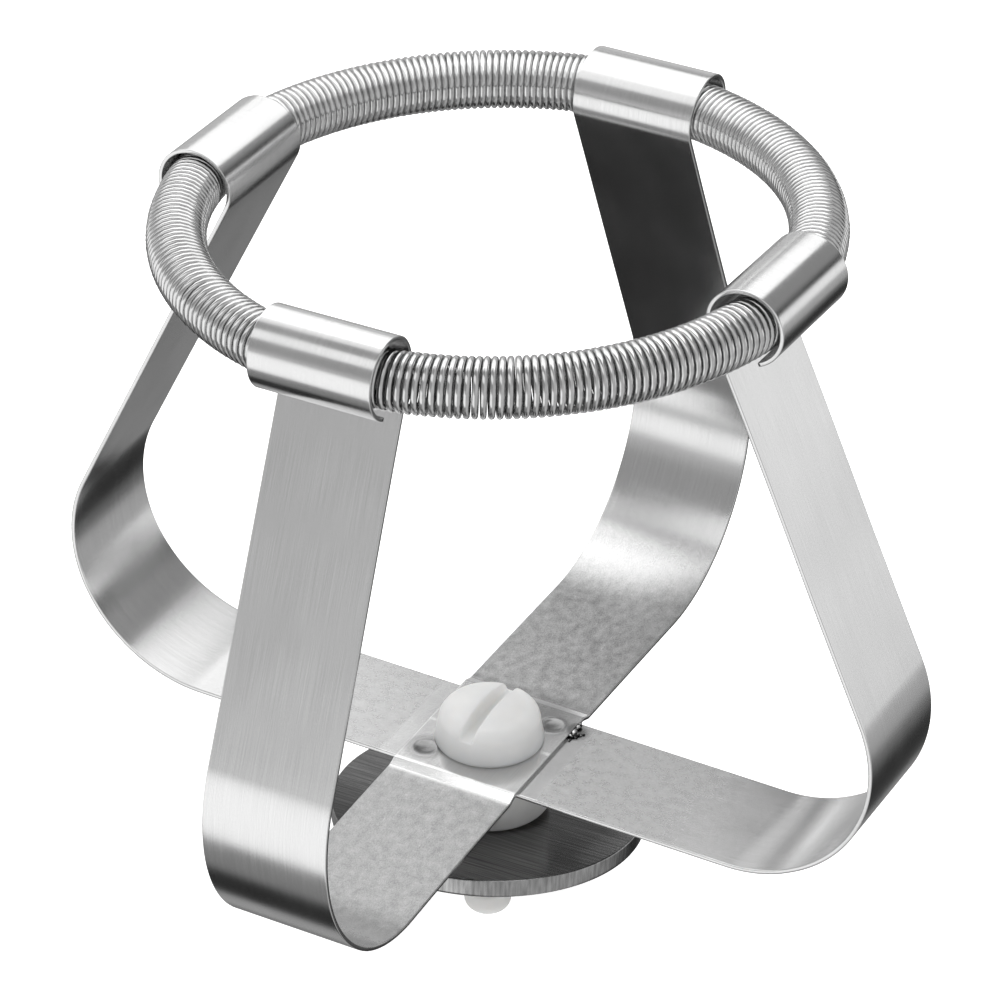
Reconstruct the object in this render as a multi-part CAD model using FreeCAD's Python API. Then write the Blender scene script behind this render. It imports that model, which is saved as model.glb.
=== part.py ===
"""Flask clamp: two crossed spring strips, a coil spring ring through their rolled eyes, and a mounting screw."""
import FreeCAD, Part
import math
import os

V = FreeCAD.Vector
Z_AXIS = V(0, 0, 1)

# Strips, in millimetres and degrees
strip_width = 16.0
sheet = 0.5
bend_radius = 19.0
arm_lean = 24.5
eye_bore_radius = 4.2
eye_wrap = 270.0

# Step of the upper strip where it crosses the lower one
step_clearance = 0.6
step_run = 1.3

# Spot welds that hold the strips together
weld_offset = 5.5
weld_radius = 1.5
weld_depth = 0.15

# Coil spring ring: it sits a little out of level, higher at the right and at the front
ring_radius = 35.6
ring_height = 70.9
rise_right = 0.042
rise_front = 0.030
coil_radius = 3.3
wire_radius = 0.4
coil_turns = 260
coil_sides = 8

# Mounting screw
shank_radius = 2.85
screw_length = 25.0
head_radius = 6.5
head_height = 5.0
head_taper = 0.45
head_shoulder = 1.6
head_crown = 0.5
slot_width = 1.6
slot_depth = 2.2
tip_round = 1.3
strip_hole_clearance = 0.4

# Spacer and tapped disc below the strips
spacer_radius = 7.4
spacer_height = 7.6
spacer_bore_clearance = 0.3
spacer_edge = 0.3
disc_radius = 18.8
disc_thickness = 2.6
disc_edge = 0.25
thread_clearance = 0.08

# Distances that follow from the sizes above
base_mid = sheet / 2
crossing_mid = 1.5 * sheet
bend_mid = bend_radius + base_mid
eye_mid = eye_bore_radius + sheet / 2
crossing_top = 2 * sheet
spacer_bottom = -spacer_height
disc_bottom = spacer_bottom - disc_thickness

# The ring is an arc and the eye a straight tube, so the eye sits halfway along the arc's rise
eye_inset = (ring_radius - math.sqrt(ring_radius ** 2 - (strip_width / 2) ** 2)) / 2


def ring_point(direction, radius):
    """Point of the ring's plane that lies the given radius from its centre, above a level direction."""
    slope = rise_right * direction.x - rise_front * direction.y
    along = V(direction.x, direction.y, slope)
    along.normalize()
    return V(0, 0, ring_height) + along * radius


def level(angle):
    """Level unit vector at an angle in degrees from +X."""
    return V(math.cos(math.radians(angle)), math.sin(math.radians(angle)), 0)


def turned(centre, radius, angle):
    """Point of an arm's plane, as (outward, up), on a circle at an angle in degrees."""
    return (centre[0] + radius * math.cos(math.radians(angle)),
            centre[1] + radius * math.sin(math.radians(angle)))


def in_plane(point):
    """An (outward, up) pair as a point of the XZ plane."""
    return V(point[0], 0, point[1])


def arc_edge(centre, radius, start, end):
    """Arc in an arm's plane between two angles in degrees."""
    ends = [in_plane(turned(centre, radius, a)) for a in (start, (start + end) / 2, end)]
    return Part.Arc(*ends).toShape()


def line_edge(start, end):
    return Part.LineSegment(in_plane(start), in_plane(end)).toShape()


def arm_layout(angle):
    """Eye centre, bend centre and arm end for the arm that points at an angle."""
    eye = ring_point(level(angle), ring_radius - eye_inset)
    eye_centre = (math.hypot(eye.x, eye.y), eye.z)
    arm_end = turned(eye_centre, eye_mid, 180 + arm_lean)
    lean = math.radians(arm_lean)
    bend_end_height = base_mid + bend_mid * (1 + math.sin(lean))
    arm_length = (arm_end[1] - bend_end_height) / math.cos(lean)
    bend_start = arm_end[0] - bend_mid * math.cos(lean) + arm_length * math.sin(lean)
    return eye_centre, (bend_start, base_mid + bend_mid)


def face_edges(angle, offset, base_points):
    """Edges of one face of an arm, from the middle of the base to the tip of the eye."""
    eye_centre, bend_centre = arm_layout(angle)
    points = [(u, z + offset) for u, z in base_points] + [(bend_centre[0], base_mid + offset)]
    edges = [line_edge(a, b) for a, b in zip(points, points[1:])]
    edges.append(arc_edge(bend_centre, bend_mid - offset, -90, arm_lean))
    foot = turned(bend_centre, bend_mid - offset, arm_lean)
    top = turned(eye_centre, eye_mid + offset, 180 + arm_lean)
    edges.append(line_edge(foot, top))
    edges.append(arc_edge(eye_centre, eye_mid + offset, 180 + arm_lean, 180 + arm_lean - eye_wrap))
    tip = turned(eye_centre, eye_mid + offset, 180 + arm_lean - eye_wrap)
    return edges, points[0], tip


def make_half(angle, base_points):
    """Half of a strip: its base from the centre out, the bend, the arm and the rolled eye."""
    inner, inner_start, inner_tip = face_edges(angle, sheet / 2, base_points)
    outer, outer_start, outer_tip = face_edges(angle, -sheet / 2, base_points)
    loop = inner + [line_edge(inner_tip, outer_tip)] + outer[::-1] + [line_edge(outer_start, inner_start)]
    outline = Part.Wire(Part.__sortEdges__(loop))
    half = Part.Face(outline).extrude(V(0, strip_width, 0))
    half.translate(V(0, -strip_width / 2, 0))
    half.rotate(V(0, 0, 0), Z_AXIS, angle)
    return half


def make_strip(angles, base_points):
    """A whole strip with its centre hole."""
    halves = [make_half(angle, base_points) for angle in angles]
    strip = halves[0].fuse(halves[1]).removeSplitter()
    hole = Part.makeCylinder(shank_radius + strip_hole_clearance, 4 * sheet, V(0, 0, -sheet))
    return strip.cut(hole)


def mark_seat(body, low, high):
    """Makes the round seat under the spacer's end a face of its own, level with the face around it."""
    column = Part.makeCylinder(spacer_radius, high - low, V(0, 0, low))
    return body.cut(column).fuse(body.common(column))


def make_lower_strip():
    strip = make_strip((0, 180), [(0, base_mid)])
    return mark_seat(strip, -sheet, 2 * sheet)


def make_upper_strip():
    step_start = strip_width / 2 + step_clearance
    base_points = [(0, crossing_mid), (step_start, crossing_mid), (step_start + step_run, base_mid)]
    strip = make_strip((-90, 90), base_points)
    ball_radius = (weld_radius ** 2 + weld_depth ** 2) / (2 * weld_depth)
    for side in (-1, 1):
        centre = V(side * weld_offset, side * weld_offset, crossing_top - weld_depth + ball_radius)
        strip = strip.cut(Part.makeSphere(ball_radius, centre))
    return strip


def make_spring_ring():
    """Closed coil as one ridged ring: each turn is a ridge of the winding, with a valley before the next."""
    radial = ring_point(level(0), 1) - V(0, 0, ring_height)
    normal = V(-rise_right, rise_front, 1)
    normal.normalize()
    across = normal.cross(radial)
    count = coil_turns * coil_sides
    # flat sides cut inside the round coil, so the corners stand out by half of what the sides lose
    corner = 2 / (1 + math.cos(math.pi / coil_sides))
    ridge_radius = (coil_radius - 0.25 * wire_radius) * corner
    valley_radius = (coil_radius - wire_radius) * corner

    def winding(step, phase, radius):
        """Point of a helix wound round the ring's centre line."""
        place = 2 * math.pi * (step + phase * coil_sides) / count
        turn = 2 * math.pi * step / coil_sides
        outward = radial * math.cos(place) + across * math.sin(place)
        centre = V(0, 0, ring_height) + outward * ring_radius
        return centre + outward * (radius * math.cos(turn)) + normal * (radius * math.sin(turn))

    ridge = [winding(step, 0, ridge_radius) for step in range(count)]
    valley = [winding(step, 0.5, valley_radius) for step in range(count)]
    facets = []
    for step in range(count):
        after = (step + 1) % count
        turn_on = (step + coil_sides) % count
        turn_after = (step + 1 + coil_sides) % count
        facets.append([ridge[step], valley[step], valley[after]])
        facets.append([ridge[step], valley[after], ridge[after]])
        facets.append([valley[step], ridge[turn_on], ridge[turn_after]])
        facets.append([valley[step], ridge[turn_after], valley[after]])
    faces = [Part.Face(Part.makePolygon(corners + corners[:1])) for corners in facets]
    return Part.Solid(Part.makeShell(faces))


def make_mounting_screw():
    """Slotted screw: crowned head with a soft shoulder, plain shank, rounded tip."""
    seat = crossing_top
    rim = seat + head_height - head_crown
    shoulder = head_radius - head_taper
    tip = seat - screw_length
    crown_start = V(shoulder - head_shoulder, 0, rim)
    crown_mid = V((shoulder - head_shoulder) / 2, 0, rim + 0.75 * head_crown)
    crown_top = V(0, 0, rim + head_crown)
    turn = head_shoulder * (1 - math.cos(math.radians(45)))
    tip_turn = tip_round * (1 - math.cos(math.radians(45)))
    edges = [
        Part.LineSegment(V(0, 0, tip), V(shank_radius - tip_round, 0, tip)).toShape(),
        Part.Arc(V(shank_radius - tip_round, 0, tip), V(shank_radius - tip_turn, 0, tip + tip_turn),
                 V(shank_radius, 0, tip + tip_round)).toShape(),
        Part.LineSegment(V(shank_radius, 0, tip + tip_round), V(shank_radius, 0, seat)).toShape(),
        Part.LineSegment(V(shank_radius, 0, seat), V(head_radius, 0, seat)).toShape(),
        Part.LineSegment(V(head_radius, 0, seat), V(shoulder, 0, rim - head_shoulder)).toShape(),
        Part.Arc(V(shoulder, 0, rim - head_shoulder), V(shoulder - turn, 0, rim - turn), crown_start).toShape(),
        Part.Arc(crown_start, crown_mid, crown_top).toShape(),
        Part.LineSegment(crown_top, V(0, 0, tip)).toShape(),
    ]
    screw = Part.Face(Part.Wire(edges)).revolve(V(0, 0, 0), Z_AXIS, 360)
    slot_floor = seat + head_height - slot_depth
    slot = Part.makeBox(slot_width, 4 * head_radius, 2 * slot_depth, V(-slot_width / 2, -2 * head_radius, slot_floor))
    return screw.cut(slot)


def make_spacer():
    """Plain spacer, rounded at its lower rim, with a clearance bore."""
    spacer = Part.makeCylinder(spacer_radius, spacer_height, V(0, 0, spacer_bottom))
    lower_rim = [edge for edge in spacer.Edges if edge.Closed and edge.CenterOfMass.z < spacer_bottom / 2]
    spacer = spacer.makeFillet(spacer_edge, lower_rim)
    bore = Part.makeCylinder(shank_radius + spacer_bore_clearance, 2 * spacer_height, V(0, 0, -1.5 * spacer_height))
    return spacer.cut(bore)


def make_clamp_disc():
    """Flat disc with bevelled rims and a tapped hole, modelled at the thread's running size."""
    disc = Part.makeCylinder(disc_radius, disc_thickness, V(0, 0, disc_bottom))
    rims = [edge for edge in disc.Edges if edge.Closed]
    disc = disc.makeChamfer(disc_edge, rims)
    bore = Part.makeCylinder(shank_radius + thread_clearance, 3 * disc_thickness, V(0, 0, disc_bottom - disc_thickness))
    return mark_seat(disc.cut(bore), disc_bottom - disc_thickness, spacer_bottom + disc_thickness)


pieces = {
    "lower_strip": make_lower_strip(),
    "upper_strip": make_upper_strip(),
    "spring_ring": make_spring_ring(),
    "mounting_screw": make_mounting_screw(),
    "spacer": make_spacer(),
    "clamp_disc": make_clamp_disc(),
}
os.makedirs("parts", exist_ok=True)
for name, solid in pieces.items():
    if not solid.isValid() or len(solid.Solids) != 1:
        raise ValueError(name + " is not one valid solid")
    solid.exportStep("parts/" + name + ".step")
    print(name, round(solid.Volume, 2), "mm3", len(solid.Faces), "faces")
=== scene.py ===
# %% [markdown]
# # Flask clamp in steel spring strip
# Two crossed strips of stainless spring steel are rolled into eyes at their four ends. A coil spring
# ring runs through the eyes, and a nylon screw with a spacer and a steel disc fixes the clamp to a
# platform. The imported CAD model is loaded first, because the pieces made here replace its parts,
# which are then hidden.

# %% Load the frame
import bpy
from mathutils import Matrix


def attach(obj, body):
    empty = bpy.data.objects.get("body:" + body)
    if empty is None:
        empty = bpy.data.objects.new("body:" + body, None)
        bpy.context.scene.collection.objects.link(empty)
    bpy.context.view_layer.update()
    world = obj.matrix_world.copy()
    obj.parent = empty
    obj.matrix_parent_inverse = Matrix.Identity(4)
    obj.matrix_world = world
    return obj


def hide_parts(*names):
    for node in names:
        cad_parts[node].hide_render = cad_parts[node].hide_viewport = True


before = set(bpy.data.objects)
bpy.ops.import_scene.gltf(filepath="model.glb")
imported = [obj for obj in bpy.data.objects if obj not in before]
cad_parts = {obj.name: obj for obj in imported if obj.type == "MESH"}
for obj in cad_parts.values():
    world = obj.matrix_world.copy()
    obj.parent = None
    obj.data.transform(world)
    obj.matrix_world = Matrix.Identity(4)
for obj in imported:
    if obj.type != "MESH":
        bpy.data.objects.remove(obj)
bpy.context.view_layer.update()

# %% Tools and units
import bpy
import bmesh
import math
from mathutils import Matrix, Vector

MM = 0.001
UP = Vector((0, 0, 1))

# %% [markdown]
# ## Camera
# The photograph was taken with a long lens from the front right, looking down by about 34 degrees.
# The place and the lens come from fitting the model's corners to the photograph, so the lens needs
# no shift. A camera looks along its own -Z, so its axes are built as columns of a matrix.

# %% Camera at the photograph's place
CAMERA_TURN, CAMERA_RISE, CAMERA_ROLL = (math.radians(a) for a in (27.889, 33.904, 0.681))
CAMERA_TARGET = Vector((-28.31, 55.43, -7.461)) * MM
CAMERA_DISTANCE = 758.04 * MM
LENS_PIXELS = 5981.2
SENSOR = 36.0


def camera_axes(turn, rise, roll):
    """Right, up and backward directions of a camera that looks down at the target."""
    back = Vector((math.sin(turn) * math.cos(rise), -math.cos(turn) * math.cos(rise), math.sin(rise)))
    level = Vector((math.cos(turn), math.sin(turn), 0))
    rising = back.cross(level)
    right = level * math.cos(roll) + rising * math.sin(roll)
    return right, rising * math.cos(roll) - level * math.sin(roll), back


right, rising, back = camera_axes(CAMERA_TURN, CAMERA_RISE, CAMERA_ROLL)
camera_data = bpy.data.cameras.new("photo_camera")
camera_data.sensor_width = SENSOR
camera_data.lens = LENS_PIXELS * SENSOR / 1000
camera_data.clip_start, camera_data.clip_end = 0.01, 20
camera = bpy.data.objects.new("photo_camera", camera_data)
camera.matrix_world = Matrix.Translation(CAMERA_TARGET + back * CAMERA_DISTANCE) @ Matrix(
    (right, rising, back)).transposed().to_4x4()
bpy.context.scene.collection.objects.link(camera)
bpy.context.scene.camera = camera
print("camera at", [round(c, 3) for c in camera.matrix_world.translation])
print("lens", round(camera_data.lens, 1), "mm")

# %% [markdown]
# ## Sizes
# These are the same named sizes as in the CAD source, in millimetres, because this script can't read
# that file. The origin is on the screw's axis, in the plane of the strips' underside. Three of the four
# bends were made a little tighter than the nominal radius, which only this model shows.

# %% Sizes of the strips and the ring
STRIP_WIDTH, SHEET = 16.0, 0.5
BEND_RADIUS, ARM_LEAN = 19.0, math.radians(24.5)
BEND_TIGHTER = {"front": 0.4, "back": 0.0, "right": 1.6, "left": 1.9}
EYE_BORE_RADIUS, EYE_WRAP = 4.2, math.radians(270)
STEP_CLEARANCE, STEP_RUN = 0.6, 1.3
WELD_OFFSET, WELD_RADIUS, WELD_DEPTH = 5.5, 1.3, 0.12
HOLE_RADIUS = 3.25
RING_RADIUS, RING_HEIGHT = 35.6, 70.9
RISE_RIGHT, RISE_FRONT = 0.042, 0.030
COIL_RADIUS, WIRE_RADIUS, COIL_TURNS = 3.42, 0.385, 271

BASE_MID = SHEET / 2
CROSSING_MID = 1.5 * SHEET
BEND_MID = BEND_RADIUS + BASE_MID
EYE_MID = EYE_BORE_RADIUS + SHEET / 2
EYE_INSET = (RING_RADIUS - math.sqrt(RING_RADIUS ** 2 - (STRIP_WIDTH / 2) ** 2)) / 2


def ring_point(direction, radius):
    """Point of the ring's plane, a radius from its centre, above a level direction."""
    slope = RISE_RIGHT * direction.x - RISE_FRONT * direction.y
    along = Vector((direction.x, direction.y, slope)).normalized()
    return Vector((0, 0, RING_HEIGHT)) + along * radius


# %% [markdown]
# ## Strips
# A strip is one band of sheet, so it is made by sweeping a thin section along the line that the sheet
# was bent to: flat base, large bend, leaning arm and rolled eye. Sweeping in code gives each point its
# distance along the band, which becomes the UV map, and the grain of the steel then follows the bends.
# A surface cut from blocks would have no such map.

# %% The line that a strip follows
def arm_name(x, y):
    """Name of the arm on whose side of the middle a point lies."""
    if abs(x) > abs(y):
        return "right" if x > 0 else "left"
    return "back" if y > 0 else "front"


def arm_line(angle, base_line):
    """Points (outward, up) and facing directions of a half strip's middle line, from the centre to the tip."""
    level = Vector((math.cos(angle), math.sin(angle), 0))
    eye = ring_point(level, RING_RADIUS - EYE_INSET)
    eye_u, eye_z = math.hypot(eye.x, eye.y), eye.z
    lean_cos, lean_sin = math.cos(ARM_LEAN), math.sin(ARM_LEAN)
    end_u, end_z = eye_u - EYE_MID * lean_cos, eye_z - EYE_MID * lean_sin
    bend = BEND_MID - BEND_TIGHTER[arm_name(level.x, level.y)]
    length = (end_z - BASE_MID - bend * (1 + lean_sin)) / lean_cos
    bend_u = end_u - bend * lean_cos + length * lean_sin
    bend_z = BASE_MID + bend
    line = list(base_line)
    last_u = line[-1][0]
    steps = 14
    line += [(last_u + (bend_u - last_u) * (i + 1) / steps, BASE_MID, 0, 1) for i in range(steps - 1)]
    steps = 76
    for i in range(steps + 1):
        a = -math.pi / 2 + (ARM_LEAN + math.pi / 2) * i / steps
        line.append((bend_u + bend * math.cos(a), bend_z + bend * math.sin(a), -math.cos(a), -math.sin(a)))
    foot_u, foot_z = line[-1][:2]
    steps = 18
    line += [(foot_u + (end_u - foot_u) * (i + 1) / steps, foot_z + (end_z - foot_z) * (i + 1) / steps,
              -lean_cos, -lean_sin) for i in range(steps - 1)]
    steps = 72
    for i in range(steps + 1):
        a = math.pi + ARM_LEAN - EYE_WRAP * i / steps
        line.append((eye_u + EYE_MID * math.cos(a), eye_z + EYE_MID * math.sin(a), math.cos(a), math.sin(a)))
    return line


def flat_base():
    """Base of the lower strip, close-set near the middle."""
    return [(u, BASE_MID, 0, 1) for u in (0, 2, 4, 6, 8, 10)]


def stepped_base():
    """Base of the upper strip: raised where it crosses the lower one, with two crisp folds on each side."""
    rise = CROSSING_MID - BASE_MID
    slope = math.atan2(rise, STEP_RUN)
    start = STRIP_WIDTH / 2 + STEP_CLEARANCE
    fold = 0.12
    line = [(0.25 * i, CROSSING_MID, 0, 1) for i in range(int(start / 0.25))]
    line.append((start - fold, CROSSING_MID, 0, 1))
    half = slope / 2
    line.append((start, CROSSING_MID - 0.02, math.sin(half), math.cos(half)))
    line.append((start + fold, CROSSING_MID - fold * math.tan(slope), math.sin(slope), math.cos(slope)))
    end = start + STEP_RUN
    line.append((end - fold, BASE_MID + fold * math.tan(slope), math.sin(slope), math.cos(slope)))
    line.append((end, BASE_MID + 0.02, math.sin(half), math.cos(half)))
    line.append((end + fold, BASE_MID, 0, 1))
    return line


def whole_line(angle, base_line):
    """Middle line of a whole strip, as (place, facing, distance from the middle), from tip to tip."""
    points = []
    for turn, order in ((math.pi, -1), (0, 1)):
        level = Vector((math.cos(angle + turn), math.sin(angle + turn), 0))
        half = [(level * u + UP * z, level * nu + UP * nz) for u, z, nu, nz in arm_line(angle + turn, base_line)]
        points += half[:0:-1] if order < 0 else half
    steps = [0] + [(b[0] - a[0]).length for a, b in zip(points, points[1:])]
    middle = min(range(len(points)), key=lambda i: math.hypot(points[i][0].x, points[i][0].y))
    return [(place, facing.normalized(), sum(steps[middle + 1:i + 1]) - sum(steps[i + 1:middle + 1]))
            for i, (place, facing) in enumerate(points)]


lower_line = whole_line(0, flat_base())
print("lower strip is", round(lower_line[-1][2] - lower_line[0][2], 1), "mm long when flat")

# %% [markdown]
# Spring steel never stands quite square after bending. In the photograph all four eyes have crept a
# little clockwise, seen from above, and they tip with the ring, so each point of an arm moves by a share
# that grows with its height. The feet have crept too, along the platform. The offsets are given
# in millimetres, and none is more than 1.2. The fitted camera stands a little too close and would draw
# the arms too wide at the top, so they narrow.

# %% How the arms have settled
SETTLED = {"front": (-1.05, -0.10, 0.45), "back": (1.10, 0.35, -0.30),
           "right": (-0.15, -0.5, 0.0), "left": (0.65, 0.79, -0.25)}
EYE_TWIST = -0.026
FOOT_CREEP = {"front": 0.55, "back": 0.15, "right": -1.2, "left": 0.0}
NARROWING = 0.045
FOOT_REACH = 45
FRONT_DROOP, DROOP_HEIGHT = 0.7, 40


def settled(spot, arm, tilt):
    """Moves a point of a strip to where its arm really stands, by its height and its distance from the middle."""
    high = (max(0, spot.z) / RING_HEIGHT) ** 1.3
    far = min(1, math.hypot(spot.x, spot.y) / FOOT_REACH) ** 2
    side, out, up = (Vector(axis) for axis in ((1, 0, 0), (0, 1, 0), (0, 0, 1)))
    offset = Vector(SETTLED[arm])
    across = spot.x if arm in ("front", "back") else spot.y
    narrower = NARROWING * min(1, max(0, spot.z) / 60) ** 0.7
    if arm in ("front", "back"):
        moved = side * (offset.x * high + FOOT_CREEP[arm] * far * (1 - high) - narrower * across)
        moved += out * (offset.y + EYE_TWIST * across) * high
    else:
        moved = out * (offset.y * (0.8 * high + 0.2 * far) - narrower * across)
        moved += side * ((offset.x - EYE_TWIST * across) * high + FOOT_CREEP[arm] * far * (1 - high))
    if arm == "front":
        moved -= up * FRONT_DROOP * far * max(0, 1 - spot.z / DROOP_HEIGHT)
    return spot + moved + up * (offset.z + tilt * across) * high


def settle_upper(spot):
    return settled(spot, "front" if spot.y < 0 else "back", RISE_RIGHT)


def settle_lower(spot):
    return settled(spot, "right" if spot.x > 0 else "left", -RISE_FRONT)


# %% [markdown]
# The section is a thin rectangle with rounded edges. A close row of points beside each rounded edge
# keeps the wide faces flat when they are shaded smooth.

# %% Sweep the sheet along its line
def sheet_section(columns):
    """Loop of (across, through) points round the sheet's section."""
    edge = 0.11
    half, wall = STRIP_WIDTH / 2, SHEET / 2
    top = [-half + edge + (STRIP_WIDTH - 2 * edge) * i / columns for i in range(columns + 1)]
    top = [top[0], top[0] + 0.12] + top[1:-1] + [top[-1] - 0.12, top[-1]]
    corner = [(math.cos(a), math.sin(a)) for a in (math.radians(d) for d in (67.5, 45, 22.5))]
    loop = [(w, wall) for w in top]
    loop += [(half - edge + edge * c, wall - edge + edge * s) for c, s in corner]
    loop += [(half, wall - edge), (half, 0), (half, edge - wall)]
    loop += [(half - edge + edge * c, edge - wall - edge * s) for c, s in corner[::-1]]
    return loop + [(-w, -t) for w, t in loop]


def sweep_sheet(name, line, columns, shape):
    """Mesh of the sheet swept along its line. UVMap is in centimetres of real sheet, and the map called
    side is 1 on the face that looks into the clamp and 0 on the other."""
    section = sheet_section(columns)
    mesh_maker = bmesh.new()
    uv_layer = mesh_maker.loops.layers.uv.new("UVMap")
    side_layer = mesh_maker.loops.layers.uv.new("side")
    uv_of, side_of, rings = {}, {}, []
    for i, (place, facing, distance) in enumerate(line):
        before, after = line[max(i - 1, 0)][0], line[min(i + 1, len(line) - 1)][0]
        across = (after - before).normalized().cross(facing).normalized()
        ring = []
        for w, t in section:
            spot = shape(place + across * w + facing * t, t)
            vertex = mesh_maker.verts.new(spot * MM)
            uv_of[vertex] = (distance / 10, (w + (0 if abs(t) > 0.15 else math.copysign(t, w))) / 10)
            side_of[vertex] = (0.5 + t / SHEET, 0.5)
            ring.append(vertex)
        rings.append(ring)
    count = len(section)
    for lower, upper in zip(rings, rings[1:]):
        for j in range(count):
            k = (j + 1) % count
            mesh_maker.faces.new((lower[j], lower[k], upper[k], upper[j]))
    mesh_maker.faces.new(rings[0][::-1])
    mesh_maker.faces.new(rings[-1])
    for face in mesh_maker.faces:
        face.smooth = len(face.verts) == 4
        for loop in face.loops:
            loop[uv_layer].uv = uv_of[loop.vert]
            loop[side_layer].uv = side_of[loop.vert]
    bmesh.ops.recalc_face_normals(mesh_maker, faces=mesh_maker.faces)
    mesh = bpy.data.meshes.new(name)
    mesh_maker.to_mesh(mesh)
    mesh_maker.free()
    piece = bpy.data.objects.new(name, mesh)
    bpy.context.scene.collection.objects.link(piece)
    return piece


def plain_mesh(piece):
    """Turns a piece's live modifiers into a plain mesh and takes the modifiers off."""
    bpy.context.view_layer.update()
    finished = bpy.data.meshes.new_from_object(piece.evaluated_get(bpy.context.evaluated_depsgraph_get()))
    finished.name = piece.name
    piece.modifiers.clear()
    piece.data = finished
    return piece


def cut_hole(piece, radius):
    """Cuts the round hole for the screw at the origin."""
    maker = bmesh.new()
    bmesh.ops.create_cone(maker, cap_ends=True, segments=64, radius1=radius * MM, radius2=radius * MM,
                          depth=6 * MM)
    drill_mesh = bpy.data.meshes.new("drill")
    maker.to_mesh(drill_mesh)
    maker.free()
    drill = bpy.data.objects.new("drill", drill_mesh)
    bpy.context.scene.collection.objects.link(drill)
    cut = piece.modifiers.new("hole", "BOOLEAN")
    cut.object, cut.operation, cut.solver = drill, "DIFFERENCE", "EXACT"
    plain_mesh(piece)
    bpy.data.objects.remove(drill)
    return piece


# %% Lower strip
lower_strip = sweep_sheet("lower_strip_sheet", lower_line, 16, lambda spot, through: settle_lower(spot))
cut_hole(lower_strip, HOLE_RADIUS)
print("lower strip", len(lower_strip.data.polygons), "faces")


# %% [markdown]
# The upper strip is pressed up over the lower one, and two spot welds join them. Each weld is a
# shallow round dent with a slightly raised rim, so the points of the close-set middle are moved down
# in a smooth bowl.

# %% Upper strip with its spot welds
def weld_dents(spot, through):
    """Moves a point of the upper strip's top face down into a weld's dent."""
    spot = settle_upper(spot)
    if through <= 0.15 or spot.z < 2 * SHEET - 0.05 or math.hypot(spot.x, spot.y) > 12:
        return spot
    for side in (-1, 1):
        reach = math.hypot(spot.x - side * WELD_OFFSET, spot.y - side * WELD_OFFSET) / WELD_RADIUS
        if reach < 1.5:
            bowl = -WELD_DEPTH * max(0, 1 - reach * reach) ** 0.8
            rim = 0.035 * math.exp(-((reach - 1.08) / 0.16) ** 2)
            spot = spot + UP * (bowl + rim)
    return spot


upper_strip = sweep_sheet("upper_strip_sheet", whole_line(math.pi / 2, stepped_base()), 64, weld_dents)
cut_hole(upper_strip, HOLE_RADIUS)
print("upper strip", len(upper_strip.data.polygons), "faces")

# %% [markdown]
# ## Coil spring ring
# The ring is one long close-wound spring bent round and joined to itself. It repeats by a rule, so
# Geometry Nodes wind it: each point of a circle is moved to its place on a helix round the ring, and a
# thin round section is swept along. The turns touch on the inside of the ring and open a little on the
# outside. Where the two ends are screwed together, one gap is wider.

# %% Node helpers
def add_node(tree, kind, settings=None, **values):
    """Adds a node, sets its properties, and fills its inputs from values or from other sockets."""
    node = tree.nodes.new(kind)
    for key, value in (settings or {}).items():
        setattr(node, key, value)
    for key, value in values.items():
        by_number = key[0] == "i" and key[1:].isdigit()
        socket = node.inputs[int(key[1:]) if by_number else key.replace("_", " ")]
        if isinstance(value, bpy.types.NodeSocket):
            tree.links.new(value, socket)
        else:
            socket.default_value = value
    return node


def math_node(tree, operation, first, second=0.0, third=None):
    """Output of a Math node."""
    inputs = {"i0": first, "i1": second}
    if third is not None:
        inputs["i2"] = third
    return add_node(tree, "ShaderNodeMath", {"operation": operation}, **inputs).outputs[0]


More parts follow.
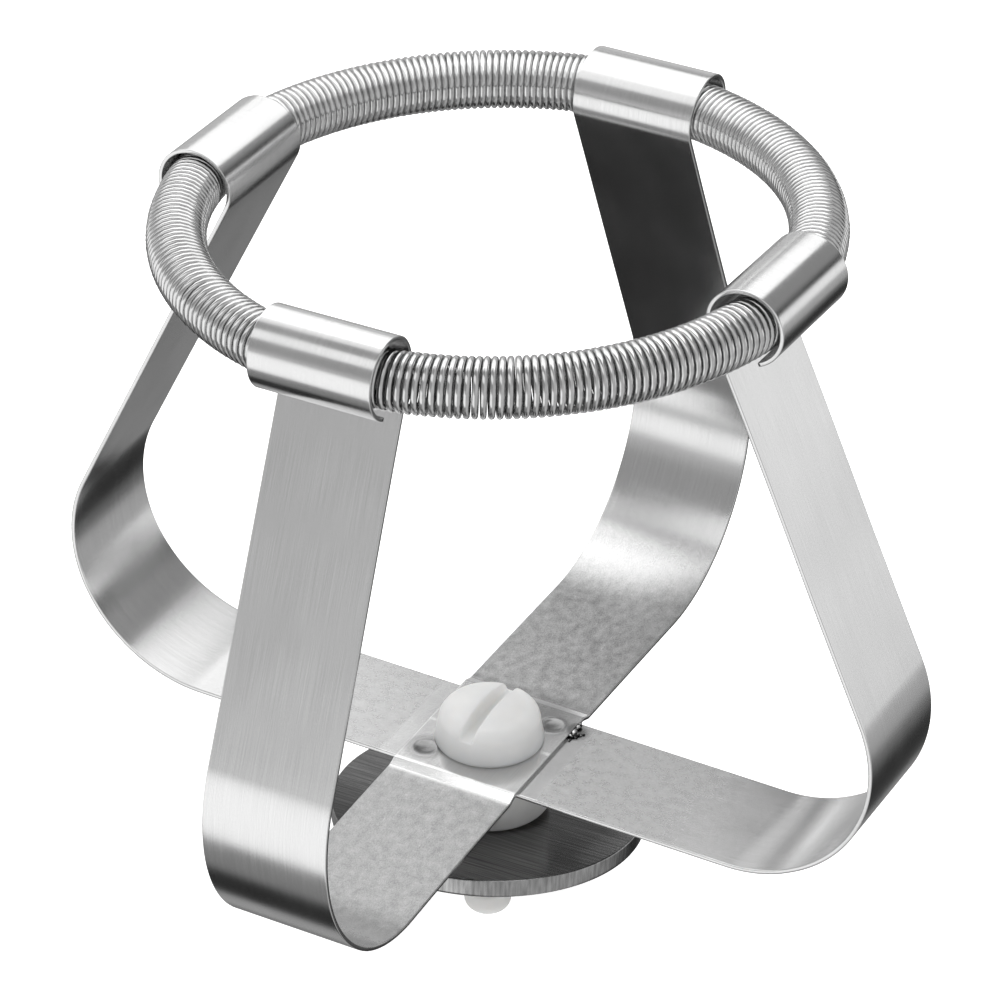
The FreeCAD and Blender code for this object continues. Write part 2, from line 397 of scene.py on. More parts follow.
# %% Coil winding tree
def coil_winding_tree():
    tree = bpy.data.node_groups.new("coil_winding", "GeometryNodeTree")
    face = tree.interface
    face.new_socket("Geometry", in_out="OUTPUT", socket_type="NodeSocketGeometry")
    for label, kind in (("Turns", "NodeSocketInt"), ("Steps Per Turn", "NodeSocketInt"),
                        ("Ring Radius", "NodeSocketFloat"), ("Coil Radius", "NodeSocketFloat"),
                        ("Wire Radius", "NodeSocketFloat"), ("Joint Place", "NodeSocketFloat"),
                        ("Joint Gap", "NodeSocketFloat"), ("Wire Material", "NodeSocketMaterial")):
        face.new_socket(label, in_out="INPUT", socket_type=kind)
    given = tree.nodes.new("NodeGroupInput").outputs
    count = math_node(tree, "MULTIPLY", given["Turns"], given["Steps Per Turn"])
    circle = add_node(tree, "GeometryNodeCurvePrimitiveCircle", Resolution=count, Radius=1.0)
    index = add_node(tree, "GeometryNodeInputIndex").outputs[0]
    share = math_node(tree, "DIVIDE", index, count)
    winding = math_node(tree, "MULTIPLY", math_node(tree, "MULTIPLY", share, given["Turns"]), math.tau)
    # the joint opens one gap: the place round the ring jumps there, spread over half a turn
    past_joint = math_node(tree, "SUBTRACT", share, given["Joint Place"])
    from_joint = math_node(tree, "MULTIPLY", past_joint, given["Turns"])
    jump = math_node(tree, "TANH", math_node(tree, "MULTIPLY", from_joint, 3.0))
    opened = math_node(tree, "MULTIPLY", jump, given["Joint Gap"])
    # hung on its eyes the spring is a little closer wound at the back than at the front
    round_once = math_node(tree, "COSINE", math_node(tree, "MULTIPLY", share, math.tau))
    crowded = math_node(tree, "MULTIPLY_ADD", round_once, 0.007, math_node(tree, "ADD", share, opened))
    place = math_node(tree, "MULTIPLY", crowded, math.tau)
    inner = math_node(tree, "SUBTRACT", given["Coil Radius"], given["Wire Radius"])
    outward = math_node(tree, "MULTIPLY_ADD", math_node(tree, "COSINE", winding), inner, given["Ring Radius"])
    spot = add_node(tree, "ShaderNodeCombineXYZ",
                    X=math_node(tree, "MULTIPLY", math_node(tree, "COSINE", place), outward),
                    Y=math_node(tree, "MULTIPLY", math_node(tree, "SINE", place), outward),
                    Z=math_node(tree, "MULTIPLY", math_node(tree, "SINE", winding), inner))
    helix = add_node(tree, "GeometryNodeSetPosition", Geometry=circle.outputs[0], Position=spot.outputs[0])
    section = add_node(tree, "GeometryNodeCurvePrimitiveCircle", Resolution=9, Radius=given["Wire Radius"])
    wire = add_node(tree, "GeometryNodeCurveToMesh", Curve=helix.outputs[0], i1=section.outputs[0])
    smooth = add_node(tree, "GeometryNodeSetShadeSmooth", Geometry=wire.outputs[0])
    solid = add_node(tree, "GeometryNodeRealizeInstances", Geometry=smooth.outputs[0])
    dressed = add_node(tree, "GeometryNodeSetMaterial", Geometry=solid.outputs[0], Material=given["Wire Material"])
    ending = tree.nodes.new("NodeGroupOutput")
    tree.links.new(dressed.outputs[0], ending.inputs[0])
    return tree


def grow(name, tree, **sizes):
    """A piece made by a node tree: sets its named inputs by their identifiers and bakes it to a mesh."""
    piece = bpy.data.objects.new(name, bpy.data.meshes.new(name))
    bpy.context.scene.collection.objects.link(piece)
    nodes = piece.modifiers.new("nodes", "NODES")
    nodes.node_group = tree
    for item in tree.interface.items_tree:
        if item.item_type == "SOCKET" and item.in_out == "INPUT" and item.name.replace(" ", "_") in sizes:
            nodes[item.identifier] = sizes[item.name.replace(" ", "_")]
    return plain_mesh(piece)


# %% Wind the ring
ring_across = ring_point(Vector((1, 0, 0)), 1) - Vector((0, 0, RING_HEIGHT))
ring_normal = Vector((-RISE_RIGHT, RISE_FRONT, 1)).normalized()
ring_place = Matrix((ring_across, ring_normal.cross(ring_across), ring_normal)).transposed().to_4x4()
ring_place.translation = Vector((0.25, 0.12, RING_HEIGHT)) * MM
spring_steel = bpy.data.materials.new("bright_spring_wire")
spring_coil = grow("spring_coil", coil_winding_tree(), Turns=COIL_TURNS, Steps_Per_Turn=22,
                   Ring_Radius=RING_RADIUS * MM, Coil_Radius=COIL_RADIUS * MM, Wire_Radius=WIRE_RADIUS * MM,
                   Joint_Place=(360 - 122) / 360, Joint_Gap=0.0005, Wire_Material=spring_steel)
spring_coil.data.transform(ring_place)
print("spring coil", len(spring_coil.data.polygons), "faces")

# %% [markdown]
# ## Turned pieces
# The screw, the spacer and the disc are round, so each is a profile turned about the screw's axis. Extra
# points close to each edge keep the flat faces flat, and the UV map runs round the piece and along the
# profile, so turning marks can follow it.

# %% Turning helper
def rounded(corners, radius, steps=4):
    """Closed profile with its corners rounded: (outward, up) points, with a point beside each corner."""
    line = []
    count = len(corners)
    for i, corner in enumerate(corners):
        here = Vector(corner[:2])
        turn = corner[2] if len(corner) > 2 else radius
        before = (Vector(corners[i - 1][:2]) - here).normalized()
        after = (Vector(corners[(i + 1) % count][:2]) - here).normalized()
        half = before.angle(after) / 2
        reach = turn / math.tan(half)
        centre = here + (before + after).normalized() * (turn / math.sin(half))
        start, end = here + before * reach - centre, here + after * reach - centre
        line.append(centre + start + before * 0.4 * turn)
        for step in range(steps + 1):
            share = step / steps
            arm = (start * (1 - share) + end * share).normalized() * turn
            line.append(centre + arm)
        line.append(centre + end + after * 0.4 * turn)
    return [(p.x, p.y) for p in line]


def turned(name, profile, segments=144, closed=True):
    """Mesh of a profile turned about the screw's axis. An open profile starts and ends on the axis."""
    maker = bmesh.new()
    uv_layer = maker.loops.layers.uv.new("UVMap")
    rows = []
    for r, z in profile:
        if r < 1e-6:
            rows.append([maker.verts.new((0, 0, z * MM))])
            continue
        rows.append([maker.verts.new((r * MM * math.cos(a), r * MM * math.sin(a), z * MM))
                     for a in (math.tau * k / segments for k in range(segments))])
    pairs = list(zip(range(len(rows)), range(1, len(rows))))
    if closed:
        pairs.append((len(rows) - 1, 0))
    along = [0]
    for (r0, z0), (r1, z1) in zip(profile, profile[1:] + profile[:1]):
        along.append(along[-1] + math.hypot(r1 - r0, z1 - z0))
    for i, j in pairs:
        low, high = rows[i], rows[j]
        for k in range(segments):
            n = (k + 1) % segments
            ring = [low[k % len(low)], low[n % len(low)], high[n % len(high)], high[k % len(high)]]
            spots = [(k, 0), (k + 1, 0), (k + 1, 1), (k, 1)]
            kept = [(v, s) for m, (v, s) in enumerate(zip(ring, spots)) if v not in ring[:m]]
            face = maker.faces.new([v for v, _ in kept])
            face.smooth = True
            for loop, (_, (u, up)) in zip(face.loops, kept):
                loop[uv_layer].uv = (u / segments, along[i + up] / 10)
    bmesh.ops.recalc_face_normals(maker, faces=maker.faces)
    mesh = bpy.data.meshes.new(name)
    maker.to_mesh(mesh)
    maker.free()
    piece = bpy.data.objects.new(name, mesh)
    bpy.context.scene.collection.objects.link(piece)
    return piece


# %% Disc and spacer
SPACER_RADIUS, SPACER_HEIGHT, SPACER_BORE = 7.4, 7.6, 3.15
DISC_RADIUS, DISC_THICKNESS, DISC_BORE = 18.6, 2.3, 3.0
DISC_HANG, DISC_HANG_TOWARD, DISC_DROP = math.radians(7.0), math.radians(-73), 0.9
disc_top, disc_bottom = -SPACER_HEIGHT, -SPACER_HEIGHT - DISC_THICKNESS
clamp_disc = turned("clamp_disc_turned", rounded([
    (DISC_BORE, disc_top, 0.15), (DISC_RADIUS, disc_top, 0.16),
    (DISC_RADIUS, disc_bottom, 0.45), (DISC_BORE, disc_bottom, 0.15)], 0.2), segments=256)
# until it is drawn tight, the disc hangs on its loose thread a little out of square, near side up
hang_axis = Vector((math.sin(DISC_HANG_TOWARD), -math.cos(DISC_HANG_TOWARD), 0))
middle = Vector((0, 0, disc_top * MM))
clamp_disc.data.transform(Matrix.Translation(middle - Vector((0, 0, DISC_DROP * MM))) @ Matrix.Rotation(
    DISC_HANG, 4, hang_axis) @ Matrix.Translation(-middle))
spacer = turned("nylon_spacer", rounded([
    (SPACER_BORE, 0, 0.1), (SPACER_RADIUS, 0, 0.12),
    (SPACER_RADIUS, disc_top, 0.35), (SPACER_BORE, disc_top, 0.1)], 0.2))
print("disc", len(clamp_disc.data.polygons), "faces, spacer", len(spacer.data.polygons), "faces")

# %% [markdown]
# ## Nylon screw
# The screw is moulded, so nothing on its head is sharp: the slot has soft lips and the rim melts into
# the sides. The head is turned, slotted with a Boolean, and then remeshed in small voxels and relaxed,
# which rounds every edge by about the same amount, as moulding does. The thread is a helix, and its
# height depends only on the angle and the distance down the shank, so the shank is a grid that is
# pushed out by that rule.

# %% Screw head
SHANK_RADIUS, SCREW_LENGTH = 2.85, 25.0
HEAD_RADIUS, HEAD_HEIGHT, HEAD_TAPER = 6.5, 5.0, 0.45
HEAD_SHOULDER, HEAD_CROWN = 1.9, 0.6
SLOT_WIDTH, SLOT_DEPTH = 1.7, 2.2
THREAD_PITCH, THREAD_DEPTH, TIP_ROUND = 1.0, 0.42, 1.5
head_seat = 2 * SHEET


def head_profile():
    """Open profile of the head, from the axis at the top round to the axis at the seat."""
    top, shoulder = head_seat + HEAD_HEIGHT, HEAD_RADIUS - HEAD_TAPER
    inner = shoulder - HEAD_SHOULDER
    line = [(inner * i / 10, top - HEAD_CROWN * (i / 10) ** 2) for i in range(11)]
    line += [(inner + HEAD_SHOULDER * math.sin(a), top - HEAD_CROWN - HEAD_SHOULDER * (1 - math.cos(a)))
             for a in (math.radians(9 * i) for i in range(1, 11))]
    line += [(shoulder + HEAD_TAPER * 0.5, head_seat + 1.2), (HEAD_RADIUS, head_seat + 0.2),
             (HEAD_RADIUS - 0.1, head_seat)]
    return line + [(0, head_seat)]


def soft_head():
    head = turned("screw_head", head_profile(), 96, closed=False)
    maker = bmesh.new()
    floor_height = head_seat + HEAD_HEIGHT - SLOT_DEPTH
    bmesh.ops.create_cube(maker, size=1)
    bmesh.ops.scale(maker, vec=Vector((SLOT_WIDTH, 30, 10)) * MM, verts=maker.verts)
    bmesh.ops.translate(maker, vec=Vector((0, 0, floor_height + 5)) * MM, verts=maker.verts)
    cutter_mesh = bpy.data.meshes.new("slot_cutter")
    maker.to_mesh(cutter_mesh)
    maker.free()
    cutter = bpy.data.objects.new("slot_cutter", cutter_mesh)
    bpy.context.scene.collection.objects.link(cutter)
    cut = head.modifiers.new("slot", "BOOLEAN")
    cut.object, cut.operation, cut.solver = cutter, "DIFFERENCE", "EXACT"
    remesh = head.modifiers.new("voxels", "REMESH")
    remesh.mode, remesh.voxel_size, remesh.use_smooth_shade = "VOXEL", 0.13 * MM, True
    relax = head.modifiers.new("relax", "SMOOTH")
    relax.factor, relax.iterations = 0.5, 10
    plain_mesh(head)
    bpy.data.objects.remove(cutter)
    return head


screw_head = soft_head()
print("screw head", len(screw_head.data.polygons), "faces")


# %% Threaded shank
def threaded_shank():
    """Grid round the shank, pushed out by the thread's rule, closed at the rounded tip and inside the head."""
    segments, tip = 72, head_seat - SCREW_LENGTH
    thread_end = tip + 2.6
    heights = [head_seat + 0.6 - i * 0.1 for i in range(int((head_seat + 0.6 - tip - TIP_ROUND) / 0.1) + 1)]
    maker = bmesh.new()
    rows = []
    for z in heights:
        row = []
        for k in range(segments):
            a = math.tau * k / segments
            phase = ((z / THREAD_PITCH - k / segments) % 1.0) * 2 - 1
            groove = max(0, min(1, 1.25 - 1.6 * abs(phase)))
            fade = max(0, min(1, (z - thread_end) / 1.2)) * max(0, min(1, -z / 2))
            r = SHANK_RADIUS - THREAD_DEPTH * groove * fade - 0.02
            row.append(maker.verts.new(Vector((r * math.cos(a), r * math.sin(a), z)) * MM))
        rows.append(row)
    for i in range(1, 8):
        a = math.radians(90 * i / 8)
        r = SHANK_RADIUS - 0.02 - TIP_ROUND * (1 - math.cos(a))
        z = tip + TIP_ROUND * (1 - math.sin(a))
        rows.append([maker.verts.new(Vector((r * math.cos(t), r * math.sin(t), z)) * MM)
                     for t in (math.tau * k / segments for k in range(segments))])
    for upper, lower in zip(rows, rows[1:]):
        for k in range(segments):
            n = (k + 1) % segments
            maker.faces.new((upper[k], lower[k], lower[n], upper[n])).smooth = True
    for row, z in ((rows[0], heights[0]), (rows[-1], tip)):
        centre = maker.verts.new((0, 0, z * MM))
        for k in range(segments):
            maker.faces.new((row[k], row[(k + 1) % segments], centre)).smooth = True
    bmesh.ops.recalc_face_normals(maker, faces=maker.faces)
    mesh = bpy.data.meshes.new("screw_shank")
    maker.to_mesh(mesh)
    maker.free()
    piece = bpy.data.objects.new("screw_shank", mesh)
    bpy.context.scene.collection.objects.link(piece)
    return piece


screw_shank = threaded_shank()
print("shank", len(screw_shank.data.polygons), "faces")

# %% [markdown]
# ## Weld splash
# The spot welding threw a little molten metal out at one edge of the crossing. It is a lumpy burr of
# small beads, so a few stretched spheres of different sizes are joined and remeshed into one skin.

# %% Splash of weld metal
def weld_splash():
    maker = bmesh.new()
    beads = [((8.1, 6.0, 0.72), (0.34, 0.75, 0.26), 20), ((8.2, 7.0, 0.78), (0.26, 0.5, 0.28), -15),
             ((8.55, 5.3, 0.66), (0.36, 0.3, 0.22), 0), ((8.15, 5.0, 0.74), (0.24, 0.34, 0.22), 30),
             ((8.95, 5.75, 0.62), (0.3, 0.16, 0.14), 40), ((9.3, 6.1, 0.58), (0.2, 0.1, 0.1), 35),
             ((8.3, 4.35, 0.62), (0.16, 0.22, 0.12), 0), ((8.05, 7.7, 0.72), (0.15, 0.3, 0.2), 0)]
    for place, size, turn in beads:
        swivel = Matrix.Rotation(math.radians(turn), 4, "Z")
        stretch = Matrix.Diagonal((*(s * MM for s in size), 1))
        matrix = Matrix.Translation(Vector(place) * MM) @ swivel @ stretch
        bmesh.ops.create_icosphere(maker, subdivisions=3, radius=1, matrix=matrix)
    mesh = bpy.data.meshes.new("weld_splash")
    maker.to_mesh(mesh)
    maker.free()
    piece = bpy.data.objects.new("weld_splash", mesh)
    bpy.context.scene.collection.objects.link(piece)
    skin = piece.modifiers.new("skin", "REMESH")
    skin.mode, skin.voxel_size, skin.use_smooth_shade = "VOXEL", 0.05 * MM, True
    return plain_mesh(piece)


splash = weld_splash()
print("weld splash", len(splash.data.polygons), "faces")

# %% [markdown]
# ## Finishes
# All metal here is stainless steel with different surfaces. The strip is cold rolled: it mirrors softly,
# with a fine mottled grain, faint lines along the band, and a few handling scratches. The pattern is built
# from noise on the strip's UV map, so the lines follow the bends, and it drives both the roughness and a
# very small bump.

# %% Material helpers
def start_material(name):
    """An empty material with its shader and output joined."""
    material = bpy.data.materials.get(name) or bpy.data.materials.new(name)
    material.use_nodes = True
    tree = material.node_tree
    tree.nodes.clear()
    shader = tree.nodes.new("ShaderNodeBsdfPrincipled")
    ending = tree.nodes.new("ShaderNodeOutputMaterial")
    tree.links.new(shader.outputs[0], ending.inputs["Surface"])
    return material, tree, shader


def stretched_noise(tree, coordinates, scale, detail=2.0, turn=0.0, roughness=0.5):
    """Noise on stretched coordinates, 0 to 1."""
    mapping = add_node(tree, "ShaderNodeMapping", Vector=coordinates, Rotation=(0, 0, turn), Scale=scale)
    return add_node(tree, "ShaderNodeTexNoise", Vector=mapping.outputs[0], Scale=1.0, Detail=detail,
                    Roughness=roughness).outputs["Fac"]


def span(tree, value, low, high, to_low=0.0, to_high=1.0, smooth=False):
    """Map Range output: low..high becomes to_low..to_high, clamped."""
    node = add_node(tree, "ShaderNodeMapRange", {"interpolation_type": "SMOOTHSTEP" if smooth else "LINEAR"},
                    i0=value, i1=low, i2=high, i3=to_low, i4=to_high)
    return node.outputs[0]


def scratches(tree, coordinates, turn, length, width, amount, seed):
    """Thin broken lines: the narrow middle of a long stretched noise, kept only in some patches."""
    moved = add_node(tree, "ShaderNodeMapping", Vector=coordinates, Location=(seed, seed * 1.7, 0)).outputs[0]
    line = stretched_noise(tree, moved, (1 / length, 1 / width, 1), 0.0, turn)
    near = math_node(tree, "ABSOLUTE", math_node(tree, "SUBTRACT", line, 0.5))
    thin = span(tree, near, 0.0, 0.012, 1.0, 0.0)
    patch = span(tree, stretched_noise(tree, moved, (3.1, 5.3, 1), 1.0), 0.62 - amount, 0.7 - amount)
    return math_node(tree, "MULTIPLY", thin, patch)


# %% Rolled strip steel
# dark spots on the upper strip, in millimetres: place, inner and outer radius, and strength
HEAT_SPOTS = ((-WELD_OFFSET, -WELD_OFFSET, 0.9, 3.0, 1.0), (WELD_OFFSET, WELD_OFFSET, 0.9, 3.0, 1.0),
              (3.5, 6.0, 1.0, 6.5, 0.70), (8.3, 6.1, 0.7, 1.9, 1.0))


def worn_part(tree, uv, start, end):
    """1 where flasks and hands have worn the inner face, 0 on the bright faces and in the welded middle."""
    side = add_node(tree, "ShaderNodeUVMap", {"uv_map": "side"}).outputs[0]
    inner = span(tree, add_node(tree, "ShaderNodeSeparateXYZ", Vector=side).outputs[0], 0.7, 0.9)
    along = math_node(tree, "ABSOLUTE", add_node(tree, "ShaderNodeSeparateXYZ", Vector=uv).outputs[0])
    outside = span(tree, along, 1.0, 1.06)
    low = span(tree, along, start, end, 1.0, 0.0, True)
    return math_node(tree, "MULTIPLY", math_node(tree, "MULTIPLY", inner, outside), low)


def heat_marks(tree, place):
    """Strength of the dark heat rings round the spot welds and the stain of the splash."""
    burnt = None
    flat = add_node(tree, "ShaderNodeVectorMath", {"operation": "MULTIPLY"}, i0=place, i1=(1, 1, 0)).outputs[0]
    for x, y, inner, outer, amount in HEAT_SPOTS:
        gap = add_node(tree, "ShaderNodeVectorMath", {"operation": "DISTANCE"}, i0=flat,
                       i1=(x * MM, y * MM, 0)).outputs["Value"]
        ring = span(tree, gap, inner * MM, outer * MM, amount, 0.0, True)
        burnt = ring if burnt is None else math_node(tree, "MAXIMUM", burnt, ring)
    height = add_node(tree, "ShaderNodeSeparateXYZ", Vector=place).outputs[2]
    return math_node(tree, "MULTIPLY", burnt, span(tree, height, 1.3 * MM, 2.5 * MM, 1.0, 0.0))


def rolled_strip_steel(name, wear, wear_start, wear_end):
    """Steel of one strip. Its wear fades out between two distances from the middle, in centimetres."""
    material, tree, shader = start_material(name)
    uv = add_node(tree, "ShaderNodeTexCoord").outputs["UV"]
    place = add_node(tree, "ShaderNodeTexCoord").outputs["Object"]
    mottle = stretched_noise(tree, uv, (7, 9, 1), 4.0, 0.3, 0.6)
    grain = stretched_noise(tree, uv, (34, 80, 1), 3.0, 0.0, 0.6)
    lines = stretched_noise(tree, uv, (0.9, 130, 1), 3.0, 0.0, 0.7)
    cloud = stretched_noise(tree, uv, (0.9, 1.6, 1), 2.0)
    marks = math_node(tree, "MAXIMUM", scratches(tree, uv, 0.35, 1.1, 0.05, 0.05, 3.0),
                      scratches(tree, uv, -0.5, 0.8, 0.045, 0.03, 11.0))
    worn = math_node(tree, "MULTIPLY", worn_part(tree, uv, wear_start, wear_end), wear)
    bright = span(tree, math_node(tree, "MULTIPLY_ADD", grain, 0.3, math_node(tree, "MULTIPLY", lines, 0.7)),
                  0.35, 0.65, 0.59, 0.70)
    dull = span(tree, math_node(tree, "MULTIPLY_ADD", grain, 0.55, math_node(tree, "MULTIPLY", mottle, 0.45)),
                0.38, 0.62, 0.30, 0.52)
    shade = add_node(tree, "ShaderNodeMix", i0=worn, i2=bright, i3=dull).outputs[0]
    shade = math_node(tree, "MULTIPLY_ADD", math_node(tree, "MULTIPLY", marks, worn), 0.14, shade)
    shade = math_node(tree, "MULTIPLY", shade, span(tree, heat_marks(tree, place), 0.0, 1.0, 1.0, 0.38))
    colour = add_node(tree, "ShaderNodeCombineColor", Red=shade, Green=shade, Blue=shade).outputs[0]
    tree.links.new(colour, shader.inputs["Base Color"])
    smooth = span(tree, math_node(tree, "MULTIPLY_ADD", cloud, 0.6, math_node(tree, "MULTIPLY", lines, 0.4)),
                  0.3, 0.7, 0.17, 0.24)
    rough = span(tree, mottle, 0.3, 0.7, 0.30, 0.42)
    finish = add_node(tree, "ShaderNodeMix", i0=worn, i2=smooth, i3=rough).outputs[0]
    tree.links.new(finish, shader.inputs["Roughness"])
    relief = math_node(tree, "MULTIPLY_ADD", grain, 0.8, math_node(tree, "MULTIPLY", lines, 0.5))
    relief = math_node(tree, "MULTIPLY_ADD", marks, -0.3, relief)
    strength = span(tree, worn, 0.0, 1.0, 0.12, 0.3)
    bump = add_node(tree, "ShaderNodeBump", Strength=strength, Distance=0.00003, Height=relief)
    tree.links.new(bump.outputs[0], shader.inputs["Normal"])
    shader.inputs["Metallic"].default_value = 1.0
    return material


lower_steel = rolled_strip_steel("rolled_strip_steel_lower", 0.5, 2.4, 3.6)
upper_steel = rolled_strip_steel("rolled_strip_steel_upper", 1.0, 3.3, 4.8)
print("made", lower_steel.name, "and", upper_steel.name)


# %% Bright spring wire
def bright_spring_wire():
    material, tree, shader = start_material("bright_spring_wire")
    place = add_node(tree, "ShaderNodeTexCoord").outputs["Object"]
    grime = stretched_noise(tree, place, (700, 700, 700), 3.0)
    wear = stretched_noise(tree, place, (90, 90, 90), 2.0)
    tree.links.new(span(tree, wear, 0.3, 0.7, 0.10, 0.18), shader.inputs["Roughness"])
    shade = span(tree, grime, 0.3, 0.75, 0.66, 0.52)
    colour = add_node(tree, "ShaderNodeCombineColor", Red=shade, Green=shade, Blue=shade).outputs[0]
    tree.links.new(colour, shader.inputs["Base Color"])
    bump = add_node(tree, "ShaderNodeBump", Strength=0.15, Distance=0.00002, Height=grime)
    tree.links.new(bump.outputs[0], shader.inputs["Normal"])
    shader.inputs["Metallic"].default_value = 1.0
    return material


bright_spring_wire()


# %% Natural nylon
def natural_nylon(name, level):
    material, tree, shader = start_material(name)
    place = add_node(tree, "ShaderNodeTexCoord").outputs["Object"]
    cloud = stretched_noise(tree, place, (260, 260, 260), 2.0)
    fine = stretched_noise(tree, place, (1500, 1500, 1500), 2.0)
    shade = span(tree, cloud, 0.3, 0.7, level - 0.03, level + 0.03)
    colour = add_node(tree, "ShaderNodeCombineColor", Red=shade, Green=shade,
                      Blue=math_node(tree, "MULTIPLY", shade, 0.99)).outputs[0]
    tree.links.new(colour, shader.inputs["Base Color"])
    tree.links.new(span(tree, fine, 0.3, 0.7, 0.34, 0.44), shader.inputs["Roughness"])
    bump = add_node(tree, "ShaderNodeBump", Strength=0.12, Distance=0.00005,
                    Height=math_node(tree, "ADD", cloud, math_node(tree, "MULTIPLY", fine, 0.3)))
    tree.links.new(bump.outputs[0], shader.inputs["Normal"])
    shader.inputs["Subsurface Weight"].default_value = 0.8
    shader.inputs["Subsurface Radius"].default_value = (1.0, 0.95, 0.9)
    shader.inputs["Subsurface Scale"].default_value = 0.0030
    shader.inputs["IOR"].default_value = 1.53
    return material


nylon = natural_nylon("natural_nylon", 0.89)
# a darker copy of the same nylon, which paints shade: the spacer lies in the shade of the strips and the disc, and
# the shank below the disc is painted darker too
spacer_nylon = natural_nylon("spacer_nylon", 0.62)


# %% Ground disc steel
def ground_disc_steel():
    material, tree, shader = start_material("ground_disc_steel")
    place = add_node(tree, "ShaderNodeTexCoord").outputs["Object"]
    uv = add_node(tree, "ShaderNodeTexCoord").outputs["UV"]
    normal = add_node(tree, "ShaderNodeNewGeometry").outputs["Normal"]
    facing = add_node(tree, "ShaderNodeSeparateXYZ", Vector=normal).outputs[2]
    flat = span(tree, math_node(tree, "ABSOLUTE", facing), 0.75, 0.92)
    face_lines = stretched_noise(tree, place, (90, 4200, 1), 3.0, math.radians(12))
    rim_lines = stretched_noise(tree, uv, (260, 3, 1), 3.0)
    lines = add_node(tree, "ShaderNodeMix", i0=flat, i2=rim_lines, i3=face_lines).outputs[0]
    cloud = stretched_noise(tree, place, (150, 150, 150), 2.0)
    rough = math_node(tree, "MULTIPLY_ADD", lines, 0.12, span(tree, cloud, 0.3, 0.7, 0.12, 0.2))
    tree.links.new(rough, shader.inputs["Roughness"])
    # painted shade and light: the flat faces are painted darker than the rim, because the top face lies in the
    # shade of the strips, and the rim is painted lighter for the light it catches at its side; the disc is also a
    # darker metal of its own
    darkest_with_painted_shade = math_node(tree, "MULTIPLY_ADD", flat, -0.12, 0.24)
    lightest_with_painted_shade = math_node(tree, "MULTIPLY_ADD", flat, -0.14, 0.46)
    shade = span(tree, lines, 0.3, 0.7, darkest_with_painted_shade, lightest_with_painted_shade)
    colour = add_node(tree, "ShaderNodeCombineColor", Red=shade, Green=shade, Blue=shade).outputs[0]
    tree.links.new(colour, shader.inputs["Base Color"])
    bump = add_node(tree, "ShaderNodeBump", Strength=0.25, Distance=0.00004, Height=lines)
    tree.links.new(bump.outputs[0], shader.inputs["Normal"])
    shader.inputs["Metallic"].default_value = 1.0
    return material


disc_steel = ground_disc_steel()


# %% Burnt weld metal
def burnt_weld_metal():
    material, tree, shader = start_material("burnt_weld_metal")
    place = add_node(tree, "ShaderNodeTexCoord").outputs["Object"]
    lumps = stretched_noise(tree, place, (1800, 1800, 1800), 3.0)
    bright = span(tree, lumps, 0.52, 0.6)
    shade = span(tree, bright, 0.0, 1.0, 0.03, 0.6)
    colour = add_node(tree, "ShaderNodeCombineColor", Red=shade, Green=shade, Blue=shade).outputs[0]
    tree.links.new(colour, shader.inputs["Base Color"])
    tree.links.new(span(tree, bright, 0.0, 1.0, 0.55, 0.2), shader.inputs["Roughness"])
    bump = add_node(tree, "ShaderNodeBump", Strength=0.6, Distance=0.0001, Height=lumps)
    tree.links.new(bump.outputs[0], shader.inputs["Normal"])
    shader.inputs["Metallic"].default_value = 1.0
    return material


burnt_weld = burnt_weld_metal()

# %% Dress the pieces and let them ride
for piece, material, slot, body, node in (
        (lower_strip, lower_steel, "strip_steel", "frame", "lower_strip"),
        (upper_strip, upper_steel, "strip_steel", "frame", "upper_strip"),
        (splash, burnt_weld, "strip_steel", "frame", None),
        # the spacer and the shank get the darker nylon with its painted shade
        (spacer, spacer_nylon, "natural_nylon", "frame", "spacer"),
        (spring_coil, spring_steel, "spring_wire", "ring", "spring_ring"),
        (screw_head, nylon, "natural_nylon", "screw", "mounting_screw"),
        (screw_shank, spacer_nylon, "natural_nylon", "screw", "mounting_screw"),
        (clamp_disc, disc_steel, "disc_steel", "disc", "clamp_disc")):
    piece.data.materials.clear()
    piece.data.materials.append(material)
    if node:
        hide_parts(node)
    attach(piece, body)
    print(piece.name, "rides on", body)

# %% [markdown]
# ## Floor and light
# Steel shows what stands round it, so the light matters more than the metal. The floor is a plain pale
# sheet just under the screw's tip. It glows faintly, because the photograph's ground is burnt out to
# white, and the steel doesn't mirror it: below the clamp it mirrors the studio, as in the photograph.

# %% Floor
floor_mesh = bpy.data.meshes.new("studio_floor")
FLOOR_REACH = 3.0
corners = [(x * FLOOR_REACH, y * FLOOR_REACH, 0) for x, y in ((-1, -1), (1, -1), (1, 1), (-1, 1))]
floor_mesh.from_pydata(corners, [], [(0, 1, 2, 3)])
floor_mesh.transform(Matrix.Translation((0, 0, (head_seat - SCREW_LENGTH) * MM - 0.0002)))
floor = bpy.data.objects.new("studio_floor", floor_mesh)
bpy.context.scene.collection.objects.link(floor)
pale, pale_tree, pale_shader = start_material("pale_floor")
pale_shader.inputs["Base Color"].default_value = (0.9, 0.9, 0.9, 1)
pale_shader.inputs["Roughness"].default_value = 0.9
pale_shader.inputs["Specular IOR Level"].default_value = 0.0
pale_shader.inputs["Emission Color"].default_value = (1, 1, 1, 1)
pale_shader.inputs["Emission Strength"].default_value = 0.8
floor_mesh.materials.append(pale)
floor.visible_glossy = False

# %% [markdown]
# The studio is a dim room with soft panels. Each bend of a strip mirrors a band of the room, turned about
# the strip's own width, so the panels are named by an angle about that axis: about X for the upper strip's
# arms and about Y for the lower strip's. An angle of 90 degrees is overhead, 0 is behind for the upper
# strip and to the right for the lower one. Each panel is (middle, half width, soft edge, brightness).

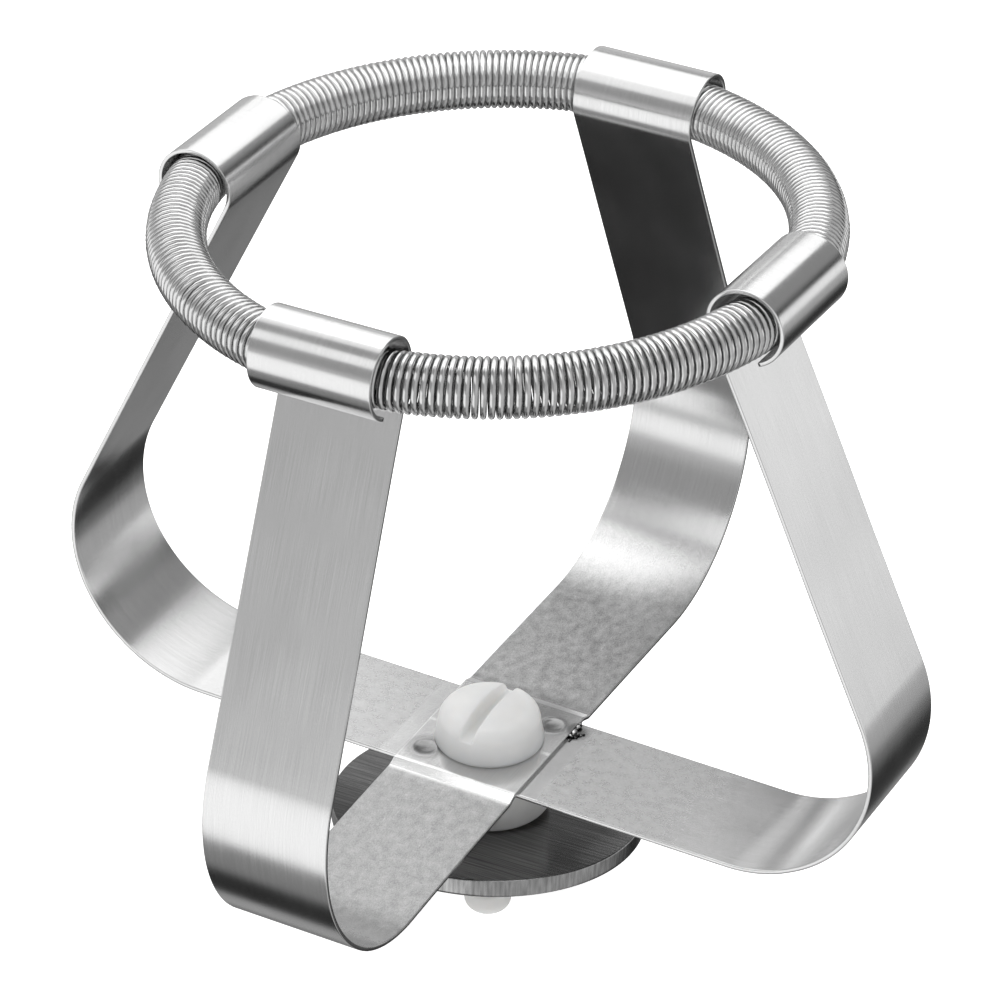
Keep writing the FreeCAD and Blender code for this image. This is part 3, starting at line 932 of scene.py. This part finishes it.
# %% Studio panels
ROUND_X = (
    (4, 14, 14, 0.85),
    (74, 10, 8, 1.2),
    (96, 68, 14, 0.40),
    (124, 11, 5, 1.30),
    (172, 6, 10, 0.56),
    (-161, 20, 9, 1.40),
    (-124, 8, 10, 0.28),
    (-72, 7, 8, 0.42),
    (-24, 10, 40, 0.50),
)
ROUND_Y = (
    (100, 64, 20, 0.32),
    (-170, 20, 20, 0.50),
    (-106, 9, 8, 0.24),
    (-3, 9, 9, 1.20),
    (-26, 9, 12, 0.50),
    (-44, 5, 10, 0.15),
)
ROOM_LEVEL, NEAR_ROOM, DARK_BELOW = 0.65, 0.025, 0.01


def panels(tree, angle, listed, floor_level):
    """Brightest of the panels at an angle in degrees."""
    best = floor_level
    for middle, half, soft, level in listed:
        turned_by = math_node(tree, "WRAP", math_node(tree, "SUBTRACT", angle, float(middle)), 180.0, -180.0)
        gap = math_node(tree, "ABSOLUTE", turned_by)
        best = math_node(tree, "MAXIMUM", best, span(tree, gap, float(half), float(half + soft), level, 0.0, True))
    return best


def near_ring(tree, value, middle, spread):
    """Closeness, 0 to 1, of a direction's part to the ring of directions that one strip mirrors."""
    off = math_node(tree, "DIVIDE", math_node(tree, "SUBTRACT", value, middle), spread)
    return math_node(tree, "EXPONENT", math_node(tree, "MULTIPLY", math_node(tree, "MULTIPLY", off, off), -1.0))


world = bpy.data.worlds.new("studio_air")
world.use_nodes = True
air = world.node_tree
direction = add_node(air, "ShaderNodeTexCoord").outputs["Generated"]
toward = add_node(air, "ShaderNodeSeparateXYZ", Vector=direction).outputs
degrees = 180 / math.pi
about_x = math_node(air, "MULTIPLY", math_node(air, "ARCTAN2", toward[2], toward[1]), degrees)
about_y = math_node(air, "MULTIPLY", math_node(air, "ARCTAN2", toward[2], toward[0]), degrees)
near_x = near_ring(air, toward[0], -0.388, 0.30)
near_y = near_ring(air, toward[1], 0.734, 0.24)
lit = math_node(air, "MULTIPLY", near_x, panels(air, about_x, ROUND_X, DARK_BELOW))
lit = math_node(air, "MULTIPLY_ADD", near_y, panels(air, about_y, ROUND_Y, DARK_BELOW), lit)
lit = math_node(air, "ADD", lit, NEAR_ROOM * ROOM_LEVEL)
total = math_node(air, "ADD", math_node(air, "ADD", near_x, near_y), NEAR_ROOM)
shade = math_node(air, "DIVIDE", lit, total)
air.links.new(shade, air.nodes["Background"].inputs["Strength"])
air.nodes["Background"].inputs["Color"].default_value = (1, 1, 1, 1)
bpy.context.scene.world = world
bpy.context.scene.view_settings.view_transform = "Standard"

# the main light hangs close above, so every eye and bend mirrors it from another side
SOFT_BOXES = {"soft_box": ((-0.30, 0.057), (-0.005, 0.175), 0.170, 1.30),
              "side_box": ((-0.35, -0.130), (0.176, 0.300), 0.170, 1.10)}
for name, (box_x, box_y, box_z, level) in SOFT_BOXES.items():
    box_light = bpy.data.lights.new(name, "AREA")
    box_light.shape = "RECTANGLE"
    box_light.size, box_light.size_y = box_x[1] - box_x[0], box_y[1] - box_y[0]
    box_light.energy = level * math.pi * box_light.size * box_light.size_y
    box = bpy.data.objects.new(name, box_light)
    box.location = (sum(box_x) / 2, sum(box_y) / 2, box_z)
    box.visible_camera = False
    bpy.context.scene.collection.objects.link(box)
print("studio has", len(ROUND_X) + len(ROUND_Y), "panels")
